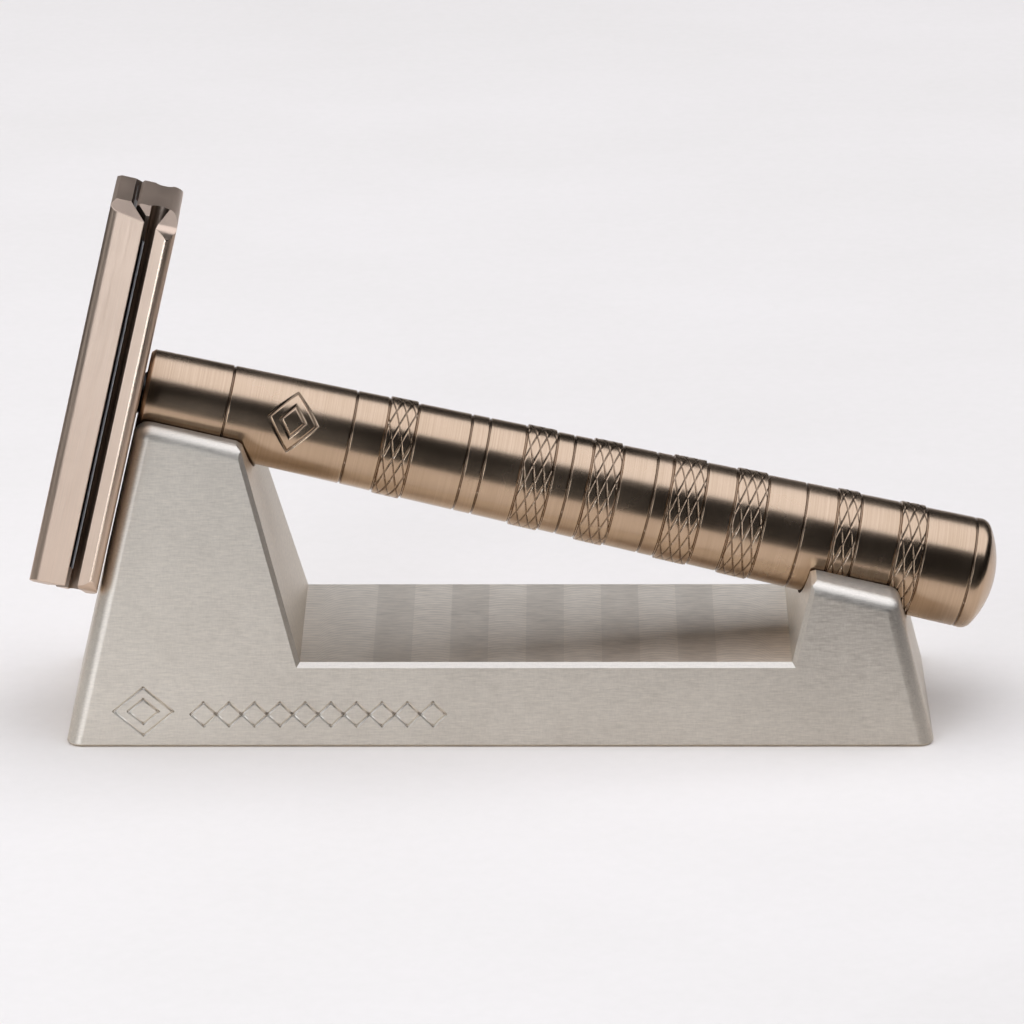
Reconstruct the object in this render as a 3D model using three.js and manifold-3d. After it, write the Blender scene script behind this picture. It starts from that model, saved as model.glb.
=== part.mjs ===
// Razor stand with the safety razor it holds. Millimetres, +Z up.
// The origin is the middle of the stand's underside: +X runs along the stand to the razor's
// tail, and -Y is the front. The razor lies in the saddles, head up, and leans on the end face.
import * as THREE from "three";
import { ConvexGeometry } from "three/addons/geometries/ConvexGeometry.js";
import { mergeVertices } from "three/addons/utils/BufferGeometryUtils.js";
import Module from "manifold-3d";

const wasm = await Module();
wasm.setup();

const DEG = Math.PI / 180;
const GAP = 0.3;               // clearance left between pieces that touch on the real object
const THROUGH = 80;            // longer than anything a cutter has to pass through
const WELD = 1e-4;             // corners closer than this are one corner

// Stand block
const BASE_LENGTH = 96.6;
const BASE_WIDTH = 28.6;
const SIDE_DRAFT = 10.65 * DEG;    // front and back faces
const TAIL_SLOPE = 14.3 * DEG;     // end face under the razor's tail
const OUTER_RADIUS = 1.8;
const FOOT_CHAMFER = 0.3;
const CORNER_STEPS = 5;
const FLOOR_HEIGHT = 9.3;
const FLOOR_HEAD_X = -22.2;
const FLOOR_TAIL_X = 32.4;
const HEAD_WALL_SLOPE = 15.2 * DEG;
const TAIL_WALL_SLOPE = 14.1 * DEG;
const POCKET_CHAMFER = 0.6;
const REST_DROP = 1.25;            // the slanting top lies this far under the handle's axis

// Razor: its axis crosses x = 0 at AXIS_HEIGHT and falls towards the tail
const AXIS_HEIGHT = 27.56;
const TILT = 13.12 * DEG;
const ROLL = 6.75 * DEG;           // how far the razor has turned in its saddles

// Handle, by distance along the axis from x = 0
const HANDLE_RADIUS = 5.52;
const HANDLE_TAPER = 0.0133;
const NECK_START = -40.75;
const TAIL_EDGE = 55.1;
const TAIL_TIP = 56.4;
const TAIL_EDGE_RADIUS = 1.3;
const TAIL_EDGE_SPAN = 60 * DEG;
const NECK_CHAMFER = 0.4;
const GROOVES = [-31.33, -17.39, -4.33, -2.29, 7.38, 16.83, 33.95, 53.24];
const GROOVE_WIDTH = 0.3;
const GROOVE_DEPTH = 0.15;
const BANDS = [
  [-13.6, -10.5], [2.0, 5.3], [9.6, 12.8], [18.75, 22.45],
  [26.05, 29.45], [37.6, 40.05], [44.8, 47.6],
];
const BAND_RISE = 0.17;
const HANDLE_SIDES = 36;
const SADDLE_SIDES = 64;

// Head, in the same distance along the axis; width is across the blade
const HEAD_HALF_LENGTH = 22.15;
const PLATEAU_HALF_WIDTH = 6.86;   // flat part of the head's ends
const CORNER_CUT = 0.349;          // length lost for each unit of width past the flat part
const CAP_TOP = -48.65;
const CAP_UNDER = -46.48;
const CAP_TIP = -44.63;
const CAP_TIP_HALF_WIDTH = 10.43;
const CAP_TIP_THICKNESS = 0.12;
const CAP_TOP_HALF_WIDTH = 8.16;
const CAP_EDGE_RADIUS = 1.42;
const CAP_EDGE_SPAN = 72.4 * DEG;
const CAP_END_CHAMFER = 0.43;
const BLADE_GAP = 0.64;            // between the cap and the guard
const GUARD_BACK = -41.05;
const GUARD_LEDGE_HALF_WIDTH = 9.0;
const CHANNEL_CENTRE = [-43.27, 7.0];
const CHANNEL_RADIUS = 1.0;
const BAR_TOP = [-43.3, 10.84];
const BAR_BACK_HALF_WIDTH = 10.4;
const BAR_EDGE_RADIUS = 0.85;
const BAR_EDGE_SPAN = 107.5 * DEG;
const GUARD_END_CHAMFER = 0.35;
const GUARD_BACK_RADIUS = 0.5;

// Blade, before it is bent: the usual double-edge size
const BLADE_THICKNESS = 0.1;
const BLADE_HALF_WIDTH = 11;
const BLADE_HALF_LENGTH = 21.5;
const EDGE_HALF_LENGTH = 18.8;
const TAB_HALF_WIDTH = 6.6;
const TAB_SHOULDER = 19.9;
const EDGE_CORNER_HALF_WIDTH = 8.6;
const BLADE_SLOT_WIDTH = 1.8;

// Clamp screw and dowels
const STUD_RADIUS = 2.5;
const STUD_START = -47.7;
const STUD_END = -33.2;
const HANDLE_BORE_END = -32.2;
const PIN_RADIUS = 1.5;
const PIN_OFFSET = 13;
const PIN_START = -47.7;
const PIN_END = -43.6;
const PIN_HOLE_END = -43.1;
const ROUND_SIDES = 32;

// Materials
function metal(color, metalness, roughness) {
  return new THREE.MeshStandardMaterial({ color, metalness, roughness });
}
const aluminium = metal(0xbdb8b0, 0.9, 0.42);
const bronze = metal(0xa8875f, 0.9, 0.32);
const blushBronze = metal(0xc9b29f, 0.9, 0.42);
const bladeSteel = metal(0x9a9c9e, 1.0, 0.25);
const screwSteel = metal(0x8d8c88, 1.0, 0.3);

// Solids: three.js makes the shapes, and manifold-3d joins and cuts them
function toSolid(source) {
  const bare = source.clone();
  bare.deleteAttribute("normal");
  bare.deleteAttribute("uv");
  const merged = mergeVertices(bare, WELD);
  const mesh = new wasm.Mesh({
    numProp: 3,
    vertProperties: new Float32Array(merged.attributes.position.array),
    triVerts: new Uint32Array(merged.index.array),
  });
  return new wasm.Manifold(mesh);
}

function toGeometry(solid) {
  const mesh = solid.getMesh();
  const geometry = new THREE.BufferGeometry();
  geometry.setAttribute("position", new THREE.BufferAttribute(new Float32Array(mesh.vertProperties), 3));
  geometry.setIndex(new THREE.BufferAttribute(new Uint32Array(mesh.triVerts), 1));
  geometry.computeVertexNormals();
  return geometry;
}

// A flat outline, pulled through to `length` each side of its own plane
function prism(shape, length, curveSegments = 8) {
  const geometry = new THREE.ExtrudeGeometry(shape, {
    depth: 2 * length, bevelEnabled: false, curveSegments,
  });
  return geometry.translate(0, 0, -length);
}

function outline(points) {
  return new THREE.Shape(points.map(([x, y]) => new THREE.Vector2(x, y)));
}

// A cylinder or cone whose axis is X, between two stations
function roundBar(start, end, startRadius, endRadius, sides) {
  const geometry = new THREE.CylinderGeometry(endRadius, startRadius, end - start, sides);
  return geometry.rotateZ(-Math.PI / 2).translate((start + end) / 2, 0, 0);
}

function handleRadius(station) {
  return HANDLE_RADIUS + HANDLE_TAPER * station;
}

// Stand block
function slantTop(x) {
  return AXIS_HEIGHT - REST_DROP / Math.cos(TILT) - x * Math.tan(TILT);
}

function faceNormals(side, end) {
  const endSlope = end < 0 ? TILT : TAIL_SLOPE;
  return {
    end: new THREE.Vector3(end * Math.cos(endSlope), 0, Math.sin(endSlope)),
    side: new THREE.Vector3(0, side * Math.cos(SIDE_DRAFT), Math.sin(SIDE_DRAFT)),
    top: new THREE.Vector3(Math.sin(TILT), 0, Math.cos(TILT)),
  };
}

// The point that lies `inset` behind the end and side faces and on the plane normal . p = distance
function cornerPoint(side, end, inset, normal, distance) {
  const faces = faceNormals(side, end);
  const rows = new THREE.Matrix3().set(
    faces.end.x, faces.end.y, faces.end.z,
    faces.side.x, faces.side.y, faces.side.z,
    normal.x, normal.y, normal.z,
  );
  const endDistance = BASE_LENGTH / 2 * Math.abs(faces.end.x) - inset;
  const sideDistance = BASE_WIDTH / 2 * Math.abs(faces.side.y) - inset;
  return new THREE.Vector3(endDistance, sideDistance, distance).applyMatrix3(rows.invert());
}

function slerp(from, to, share) {
  const angle = from.angleTo(to);
  const start = from.clone().multiplyScalar(Math.sin((1 - share) * angle));
  const finish = to.clone().multiplyScalar(Math.sin(share * angle));
  return start.add(finish).divideScalar(Math.sin(angle));
}

// Rounded corner post: a ball under the slanting top and the foot of the upright edge
function cornerPosts() {
  const up = new THREE.Vector3(0, 0, 1);
  const points = [];
  for (const side of [-1, 1]) {
    for (const end of [-1, 1]) {
      const faces = faceNormals(side, end);
      const topDistance = slantTop(0) * faces.top.z - OUTER_RADIUS;
      const ball = cornerPoint(side, end, OUTER_RADIUS, faces.top, topDistance);
      const foot = cornerPoint(side, end, OUTER_RADIUS, up, 0);
      const edge = ball.clone().sub(foot).normalize();
      for (let i = 0; i <= CORNER_STEPS; i += 1) {
        const around = slerp(faces.end, faces.side, i / CORNER_STEPS);
        for (const height of [0, FOOT_CHAMFER]) {
          const point = foot.clone().addScaledVector(around, OUTER_RADIUS - FOOT_CHAMFER + height);
          points.push(point.addScaledVector(edge, (height - point.z) / edge.z));
        }
        for (let j = 0; j <= CORNER_STEPS; j += 1) {
          const direction = slerp(around, faces.top, j / CORNER_STEPS);
          points.push(ball.clone().addScaledVector(direction, OUTER_RADIUS));
        }
      }
    }
  }
  return points;
}

// The pocket's outline, grown by `grow`, on the upright plane that leans with the front face
function pocketOutline(grow, inset, side) {
  const bottom = FLOOR_HEIGHT - grow;
  const top = THROUGH / 2;
  const headX = (height) => FLOOR_HEAD_X - grow / Math.cos(HEAD_WALL_SLOPE)
    - (height - FLOOR_HEIGHT) * Math.tan(HEAD_WALL_SLOPE);
  const tailX = (height) => FLOOR_TAIL_X + grow / Math.cos(TAIL_WALL_SLOPE)
    + (height - FLOOR_HEIGHT) * Math.tan(TAIL_WALL_SLOPE);
  const y = (height) => side * (BASE_WIDTH / 2 - height * Math.tan(SIDE_DRAFT) - inset);
  return [bottom, top].flatMap((height) => [
    new THREE.Vector3(headX(height), y(height), height),
    new THREE.Vector3(tailX(height), y(height), height),
  ]);
}

function pocketCut() {
  const reach = BASE_WIDTH;
  const through = [...pocketOutline(0, -reach, -1), ...pocketOutline(0, -reach, 1)];
  let cut = toSolid(new ConvexGeometry(through));
  for (const side of [-1, 1]) {
    const flare = [
      ...pocketOutline(0, POCKET_CHAMFER, side),
      ...pocketOutline(2 * POCKET_CHAMFER, -POCKET_CHAMFER, side),
    ];
    cut = cut.add(toSolid(new ConvexGeometry(flare)));
  }
  return cut;
}

// Breaks the edge between a pocket wall and the slanting top
function wallTopChamfer(floorX, slope, direction) {
  const lean = direction * Math.tan(slope);
  const x = (floorX + lean * (slantTop(0) - FLOOR_HEIGHT)) / (1 + lean * Math.tan(TILT));
  const z = slantTop(x);
  const size = POCKET_CHAMFER;
  const along = [direction * Math.cos(TILT), -direction * Math.sin(TILT)];
  const down = [-direction * Math.sin(slope), -Math.cos(slope)];
  const shape = outline([
    [x + along[0] * size, z + along[1] * size],
    [x + down[0] * size, z + down[1] * size],
    [x - direction * size, z + size],
  ]);
  return toSolid(prism(shape, BASE_WIDTH).rotateX(Math.PI / 2));
}

function standBlock() {
  const radii = [-THROUGH, THROUGH].map((station) => handleRadius(station) + GAP);
  const saddle = roundBar(-THROUGH, THROUGH, radii[0], radii[1], SADDLE_SIDES);
  saddle.rotateY(TILT).translate(0, 0, AXIS_HEIGHT);
  const cutters = [
    pocketCut(),
    wallTopChamfer(FLOOR_HEAD_X, HEAD_WALL_SLOPE, -1),
    wallTopChamfer(FLOOR_TAIL_X, TAIL_WALL_SLOPE, 1),
    toSolid(saddle),
  ];
  const block = toSolid(new ConvexGeometry(cornerPosts()));
  return toGeometry(cutters.reduce((rest, cutter) => rest.subtract(cutter), block));
}

// Head pieces: the section is (station, width), the plan (width, length), the side (station, length)
function mirrored(half) {
  return [...half, ...half.map(([station, width]) => [station, -width]).reverse()];
}

function arc(centre, radius, from, to, steps) {
  return Array.from({ length: steps + 1 }, (_, i) => {
    const angle = from + (to - from) * i / steps;
    return [centre[0] + radius * Math.cos(angle), centre[1] + radius * Math.sin(angle)];
  });
}

function fromPlan(points) {
  const turn = new THREE.Matrix4().set(0, 0, 1, 0, 1, 0, 0, 0, 0, 1, 0, 0, 0, 0, 0, 1);
  return toSolid(prism(outline(points), THROUGH).applyMatrix4(turn));
}

function fromSide(points) {
  return toSolid(prism(outline(points), THROUGH).rotateX(Math.PI / 2));
}

function headPiece(section, side) {
  const cornerWidth = 2 * PLATEAU_HALF_WIDTH;
  const cornerLength = HEAD_HALF_LENGTH - CORNER_CUT * (cornerWidth - PLATEAU_HALF_WIDTH);
  const plan = [
    [PLATEAU_HALF_WIDTH, HEAD_HALF_LENGTH], [-PLATEAU_HALF_WIDTH, HEAD_HALF_LENGTH],
    [-cornerWidth, cornerLength], [-cornerWidth, -cornerLength],
    [-PLATEAU_HALF_WIDTH, -HEAD_HALF_LENGTH], [PLATEAU_HALF_WIDTH, -HEAD_HALF_LENGTH],
    [cornerWidth, -cornerLength], [cornerWidth, cornerLength],
  ];
  const body = toSolid(prism(outline(section), THROUGH));
  return body.intersect(fromPlan(plan)).intersect(fromSide(side));
}

// Round holes along the axis direction for the stud and the two dowels
function clampHoles(start, studEnd, pinEnd, clearance) {
  const stud = roundBar(start, studEnd, STUD_RADIUS + clearance, STUD_RADIUS + clearance, ROUND_SIDES);
  let holes = toSolid(stud);
  for (const side of [-1, 1]) {
    const radius = PIN_RADIUS + clearance;
    const pin = roundBar(start, pinEnd, radius, radius, ROUND_SIDES);
    holes = holes.add(toSolid(pin.translate(0, 0, side * PIN_OFFSET)));
  }
  return holes;
}

const BEND = Math.atan2(CAP_TIP - CAP_UNDER, CAP_TIP_HALF_WIDTH - PLATEAU_HALF_WIDTH);

function cap() {
  const edgeCentre = [CAP_TOP + CAP_EDGE_RADIUS, CAP_TOP_HALF_WIDTH];
  const half = [
    ...arc(edgeCentre, CAP_EDGE_RADIUS, Math.PI, Math.PI - CAP_EDGE_SPAN, 4),
    [CAP_TIP - CAP_TIP_THICKNESS, CAP_TIP_HALF_WIDTH],
    [CAP_TIP, CAP_TIP_HALF_WIDTH],
    [CAP_UNDER, PLATEAU_HALF_WIDTH],
  ];
  const end = HEAD_HALF_LENGTH;
  const chamfered = end - CAP_END_CHAMFER;
  const side = [
    [CAP_TOP, -chamfered], [CAP_TOP + CAP_END_CHAMFER, -end], [GUARD_BACK, -end],
    [GUARD_BACK, end], [CAP_TOP + CAP_END_CHAMFER, end], [CAP_TOP, chamfered],
  ];
  const holes = clampHoles(STUD_START - GAP, GUARD_BACK, GUARD_BACK, GAP);
  return toGeometry(headPiece(mirrored(half), side).subtract(holes));
}

function guard() {
  const top = CAP_UNDER + BLADE_GAP;
  const slopeTop = CAP_UNDER + BLADE_GAP / Math.cos(BEND);
  const ledge = slopeTop + (GUARD_LEDGE_HALF_WIDTH - PLATEAU_HALF_WIDTH) * Math.tan(BEND);
  const half = [
    [top, PLATEAU_HALF_WIDTH - (slopeTop - top) / Math.tan(BEND)],
    [ledge, GUARD_LEDGE_HALF_WIDTH],
    [CHANNEL_CENTRE[0] - CHANNEL_RADIUS, GUARD_LEDGE_HALF_WIDTH],
    ...arc(CHANNEL_CENTRE, CHANNEL_RADIUS, Math.PI, 2 * Math.PI, 8),
    BAR_TOP,
    ...arc([GUARD_BACK - BAR_EDGE_RADIUS, BAR_BACK_HALF_WIDTH], BAR_EDGE_RADIUS, BAR_EDGE_SPAN, 0, 6),
  ];
  const end = HEAD_HALF_LENGTH;
  const round = GUARD_BACK_RADIUS;
  const side = [
    [top, -(end - GUARD_END_CHAMFER)],
    [top + GUARD_END_CHAMFER, -end],
    ...arc([GUARD_BACK - round, -(end - round)], round, -Math.PI / 2, 0, 4),
    ...arc([GUARD_BACK - round, end - round], round, 0, Math.PI / 2, 4),
    [top + GUARD_END_CHAMFER, end],
    [top, end - GUARD_END_CHAMFER],
  ];
  const holes = clampHoles(CAP_TOP, NECK_START, PIN_HOLE_END, GAP);
  return toGeometry(headPiece(mirrored(half), side).subtract(holes));
}

function blade() {
  const middle = CAP_UNDER + BLADE_GAP / 2;
  const half = BLADE_THICKNESS / 2;
  const bendAt = PLATEAU_HALF_WIDTH - BLADE_GAP / 2 * Math.tan(BEND / 2);
  const length = BLADE_HALF_WIDTH - bendAt;
  const tip = [middle + length * Math.sin(BEND), bendAt + length * Math.cos(BEND)];
  const section = [
    [middle - half, bendAt], [tip[0] - half, tip[1]],
    [tip[0] + half, tip[1] - half], [middle + half, bendAt - half],
  ];
  const quarter = [
    [BLADE_HALF_WIDTH, EDGE_HALF_LENGTH], [EDGE_CORNER_HALF_WIDTH, EDGE_HALF_LENGTH],
    [TAB_HALF_WIDTH, TAB_SHOULDER], [TAB_HALF_WIDTH, BLADE_HALF_LENGTH],
  ];
  const headEnd = [...quarter, ...quarter.map(([w, l]) => [-w, l]).reverse()];
  const plan = [...headEnd, ...headEnd.map(([w, l]) => [-w, -l])];
  const slot = [
    [BLADE_SLOT_WIDTH / 2, PIN_OFFSET], [-BLADE_SLOT_WIDTH / 2, PIN_OFFSET],
    [-BLADE_SLOT_WIDTH / 2, -PIN_OFFSET], [BLADE_SLOT_WIDTH / 2, -PIN_OFFSET],
  ];
  const sheet = toSolid(prism(outline(mirrored(section)), BLADE_HALF_LENGTH));
  const holes = clampHoles(CAP_TOP, GUARD_BACK, GUARD_BACK, GAP).add(fromPlan(slot));
  return toGeometry(sheet.intersect(fromPlan(plan)).subtract(holes));
}

// Handle: half outline of (station, radius), turned about the axis
function handle() {
  const features = [
    ...GROOVES.map((at) => ({ at, points: grooveOutline(at) })),
    ...BANDS.map(([from, to]) => ({ at: from, points: bandOutline(from, to) })),
  ].sort((a, b) => a.at - b.at);
  const boreRadius = STUD_RADIUS + GAP;
  const neckRadius = handleRadius(NECK_START);
  const tailRadius = handleRadius(TAIL_EDGE);
  const profile = [
    [HANDLE_BORE_END, 0],
    [HANDLE_BORE_END, boreRadius],
    [NECK_START, boreRadius],
    [NECK_START, neckRadius - NECK_CHAMFER],
    [NECK_START + NECK_CHAMFER, neckRadius],
    ...features.flatMap((feature) => feature.points),
    ...tailOutline(tailRadius),
  ];
  const points = profile.map(([station, radius]) => new THREE.Vector2(radius, station));
  const turned = new THREE.LatheGeometry(points, HANDLE_SIDES);
  return toGeometry(toSolid(turned.rotateZ(-Math.PI / 2)));
}

function grooveOutline(at) {
  const radius = handleRadius(at);
  const side = GROOVE_WIDTH / 2;
  return [[at - side, radius], [at, radius - GROOVE_DEPTH], [at + side, radius]];
}

function bandOutline(from, to) {
  return [
    [from, handleRadius(from)], [from, handleRadius(from) + BAND_RISE],
    [to, handleRadius(to) + BAND_RISE], [to, handleRadius(to)],
  ];
}

// The tail: a small round edge, then a shallow dome that meets the axis
function tailOutline(radius) {
  const edgeCentre = [TAIL_EDGE - TAIL_EDGE_RADIUS, radius - TAIL_EDGE_RADIUS];
  const edge = arc(edgeCentre, TAIL_EDGE_RADIUS, Math.PI / 2, Math.PI / 2 - TAIL_EDGE_SPAN, 4);
  const [edgeStation, edgeRadius] = edge[edge.length - 1];
  const rise = TAIL_TIP - edgeStation;
  const domeRadius = (edgeRadius * edgeRadius + rise * rise) / (2 * rise);
  const span = Math.asin(edgeRadius / domeRadius);
  const dome = arc([TAIL_TIP - domeRadius, 0], domeRadius, span, 0, 6);
  dome[dome.length - 1] = [TAIL_TIP, 0];
  return [...edge, ...dome.slice(1)];
}

function stud() {
  return toGeometry(toSolid(roundBar(STUD_START, STUD_END, STUD_RADIUS, STUD_RADIUS, ROUND_SIDES)));
}

function pin(side) {
  const bar = roundBar(PIN_START, PIN_END, PIN_RADIUS, PIN_RADIUS, ROUND_SIDES);
  return toGeometry(toSolid(bar.translate(0, 0, side * PIN_OFFSET)));
}

function piece(name, geometry, material) {
  const mesh = new THREE.Mesh(geometry, material);
  mesh.name = name;
  return mesh;
}

const razor = new THREE.Group();
razor.position.set(0, 0, AXIS_HEIGHT);
razor.rotation.set(-ROLL, TILT, 0, "YXZ");
razor.add(
  piece("razor_handle", handle(), bronze),
  piece("razor_guard", guard(), blushBronze),
  piece("razor_blade", blade(), bladeSteel),
  piece("razor_cap", cap(), blushBronze),
  piece("razor_stud", stud(), screwSteel),
  piece("razor_pin_upper", pin(1), screwSteel),
  piece("razor_pin_lower", pin(-1), screwSteel),
);

const assembly = new THREE.Group();
assembly.add(piece("stand_block", standBlock(), aluminium), razor);

export default assembly;
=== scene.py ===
"""Razor stand with the safety razor lying in it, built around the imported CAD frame.

Sizes are in millimetres until a mesh is stored, and then in metres, in the row frame: +Z up, the
origin in the middle of the stand's underside, +X towards the razor's tail and -Y the front.
"""
import math

import bmesh
import bpy
import numpy as np
from mathutils import Matrix, Vector


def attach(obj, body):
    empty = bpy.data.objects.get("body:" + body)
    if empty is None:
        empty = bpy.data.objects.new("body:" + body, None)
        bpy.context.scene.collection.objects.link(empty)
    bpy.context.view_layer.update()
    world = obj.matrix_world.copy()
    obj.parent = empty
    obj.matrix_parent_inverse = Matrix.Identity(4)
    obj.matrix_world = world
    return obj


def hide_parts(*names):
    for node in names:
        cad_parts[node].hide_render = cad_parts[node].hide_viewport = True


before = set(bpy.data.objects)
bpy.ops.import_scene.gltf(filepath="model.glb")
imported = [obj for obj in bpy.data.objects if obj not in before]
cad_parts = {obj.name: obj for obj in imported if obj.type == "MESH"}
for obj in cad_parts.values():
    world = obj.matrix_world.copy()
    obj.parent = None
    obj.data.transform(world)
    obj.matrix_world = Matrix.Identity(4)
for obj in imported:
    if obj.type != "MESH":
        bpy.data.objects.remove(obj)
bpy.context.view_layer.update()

MM = 0.001
# Cutters that go right through reach this far, and holes are this much larger than what they hold
THROUGH = 80.0
GAP = 0.3
# Enough to keep two outlines from touching
CLEAR = 0.01
# The narrow bevel on edges that meet at more than BREAK_ANGLE
EDGE_BREAK = 0.12
BREAK_ANGLE = math.radians(35)
# How much of a face's unit normal points up when the face is level
NEARLY_FLAT = 0.99
# Faces of a hull that meet at less than this are one face
FLAT_ANGLE = math.radians(0.2)
# Shading is sharp where faces meet at more than these angles, in degrees. The head's facets meet at
# 19 degrees or more, and the strips of its arcs at less than 8.
CREASE = 30
HANDLE_CREASE = 60
THREAD_CREASE = 40
HEAD_CREASE = 14

# Stand block
BASE_LENGTH = 96.6
BASE_WIDTH = 28.6
SIDE_DRAFT = math.radians(10.65)
TAIL_SLOPE = math.radians(14.3)
OUTER_RADIUS = 1.8
FOOT_CHAMFER = 0.3
CORNER_STEPS = 14
FLOOR_HEIGHT = 9.3
FLOOR_HEAD_X = -22.2
FLOOR_TAIL_X = 32.4
HEAD_WALL_SLOPE = math.radians(15.2)
TAIL_WALL_SLOPE = math.radians(14.1)
POCKET_CHAMFER = 0.5
REST_DROP = 1.25
SADDLE_CHAMFER = 0.25
SADDLE_COLUMNS = 256
# What breaks a saddle's lip, as steps outward and upward from the lip
SADDLE_LIP = [
    (SADDLE_CHAMFER, 0),
    (0, -SADDLE_CHAMFER),
    (-1, -SADDLE_CHAMFER),
    (-1, 1),
    (SADDLE_CHAMFER + 1, 1),
]

# Engraved ornament on the stand's front: one large lozenge, then a row of small ones.
# Each is its middle's x, its height up the face, and its half length and half height.
ENGRAVING_WIDTH = 0.34
ENGRAVING_DEPTH = 0.12
ROW_START = -32.9
ROW_PITCH = 2.83
ROW_COUNT = 10
ORNAMENT = [(-39.6, 4.05, 3.3, 2.7), (-39.6, 4.05, 1.7, 1.4)]
ORNAMENT += [(ROW_START + ROW_PITCH * i, 3.72, 1.41, 1.35) for i in range(ROW_COUNT)]

# Razor: its axis crosses x = 0 at AXIS_HEIGHT and falls towards the tail
AXIS_HEIGHT = 27.56
TILT = math.radians(13.12)
ROLL = math.radians(6.75)

# Handle, by distance along the axis
HANDLE_RADIUS = 5.52
HANDLE_TAPER = 0.0133
NECK_START = -40.75
NECK_CHAMFER = 0.4
TAIL_EDGE = 55.4
TAIL_TIP = 56.85
TAIL_EDGE_RADIUS = 1.3
TAIL_EDGE_SPAN = math.radians(60)
TAIL_EDGE_STEPS = 10
TAIL_DOME_STEPS = 16
GROOVES = [-31.33, -17.39, -4.33, -2.29, 7.38, 16.83, 33.95, 53.4]
GROOVE_WIDTH = 0.3
GROOVE_DEPTH = 0.15
# The right half of a groove: shares of its half width, and of its depth
GROOVE_SHAPE = [(0.25, 0.97), (0.6, 0.7), (0.95, 0.12), (1.25, 0)]
BORDER_WIDTH = 0.26
BORDER_DEPTH = 0.12
# Knurled bands: start, end, and where a row of crossings lies, as an angle in degrees and the
# distance of its first crossing from the band's start
BANDS = [
    (-13.6, -10.5, 161, 0.72),
    (2.0, 5.3, 153, 1.03),
    (9.6, 12.8, 153, 0.61),
    (18.75, 22.45, 153, 0.71),
    (26.05, 29.45, 167, 0.97),
    (37.6, 40.05, 168, 0.98),
    (44.8, 47.6, 168, 0.79),
]
# A band stands proud by BAND_RISE, from a share of it at each end
BAND_RISE = 0.17
BAND_END_SHARE = 0.35
BAND_RAMP = 0.12
KNURL_STARTS = 9
KNURL_PITCH = 1.115
KNURL_WIDTH = 0.24
KNURL_DEPTH = 0.12
KNURL_STEP = 0.05
HANDLE_COLUMNS = 360
# The outline's first points are the bore and the neck's end face
BORE_POINTS = 3
# Rings this close to the ends of a long plain stretch keep its shading straight
SUPPORT = 0.12
# How far a full-depth cut takes on the painted shade of the cuts
CUT_PAINTED_SHADE = 0.75
MOTIF_CENTRE = -23.95
MOTIF_HALF_LENGTH = 2.7
MOTIF_HALF_HEIGHT = 3.6
MOTIF_TURN = math.radians(163)
MOTIF_SIZES = (1.0, 0.5)
MOTIF_LINE = 0.36
MOTIF_DEPTH = 0.13
# Above 1, a line's floor is flat in its middle
MOTIF_STEEPNESS = 1.4
MOTIF_STEP = 0.07

# Head: stations along the razor's axis, half widths across the head, half lengths along it
HEAD_HALF_LENGTH = 22.15
PLATEAU_HALF_WIDTH = 6.86
CORNER_CUT = 0.349
CAP_TOP = -48.65
CAP_UNDER = -46.48
CAP_TIP = -44.63
CAP_TIP_HALF_WIDTH = 10.43
CAP_TIP_THICKNESS = 0.12
CAP_TOP_HALF_WIDTH = 8.16
CAP_EDGE_RADIUS = 1.42
CAP_EDGE_SPAN = math.radians(72.4)
CAP_EDGE_STEPS = 14
CAP_END_CHAMFER = 0.43
BLADE_GAP = 0.64
GUARD_BACK = -41.05
GUARD_LEDGE_HALF_WIDTH = 9.0
CHANNEL_CENTRE = (-43.27, 7.0)
CHANNEL_RADIUS = 1.0
CHANNEL_STEPS = 20
BAR_TOP = (-43.3, 10.84)
BAR_BACK_HALF_WIDTH = 10.4
BAR_EDGE_RADIUS = 0.85
BAR_EDGE_SPAN = math.radians(107.5)
BAR_EDGE_STEPS = 14
GUARD_END_CHAMFER = 0.35
GUARD_BACK_RADIUS = 1.2
GUARD_BACK_STEPS = 10
CORNER_RADIUS = 1.8
CORNER_ARC_STEPS = 12
# Which faces get painted shade or a painted glint, by the part of their normal that runs along the
# razor's axis, and how much of it may run along the head on a face that counts as lengthwise
INSIDE_FACING = 0.5
BACK_FACING = 0.9
GLINT_FROM = -0.28
GLINT_TO = 0.12
LENGTHWISE_LIMIT = 0.2

# Blade: a standard double-edge one, and the width of its ground edge
BLADE_THICKNESS = 0.1
BLADE_HALF_WIDTH = 11
BLADE_HALF_LENGTH = 21.5
EDGE_HALF_LENGTH = 18.8
TAB_HALF_WIDTH = 6.6
TAB_SHOULDER = 19.9
EDGE_CORNER_HALF_WIDTH = 8.6
BLADE_SLOT_WIDTH = 1.8
GRIND_WIDTH = 0.35

# Clamp screw and dowels
STUD_RADIUS = 2.5
STUD_START = -47.7
STUD_END = -33.2
THREAD_PITCH = 0.8
THREAD_DEPTH = 0.4
# The thread starts this far along the stud and is at full depth after its run-in
THREAD_START = 2.2
THREAD_STEPS = 12
THREAD_RUN_IN = 0.5
THREAD_END_CHAMFER = 0.4
ROUND_COLUMNS = 48
HOLE_COLUMNS = 64
HANDLE_BORE_END = -32.2
PIN_RADIUS = 1.5
PIN_TIP_RADIUS = 0.3
PIN_TIP_STEPS = 6
PIN_OFFSET = 13
PIN_START = -47.7
PIN_END = -43.6
PIN_HOLE_END = -43.1

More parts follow.
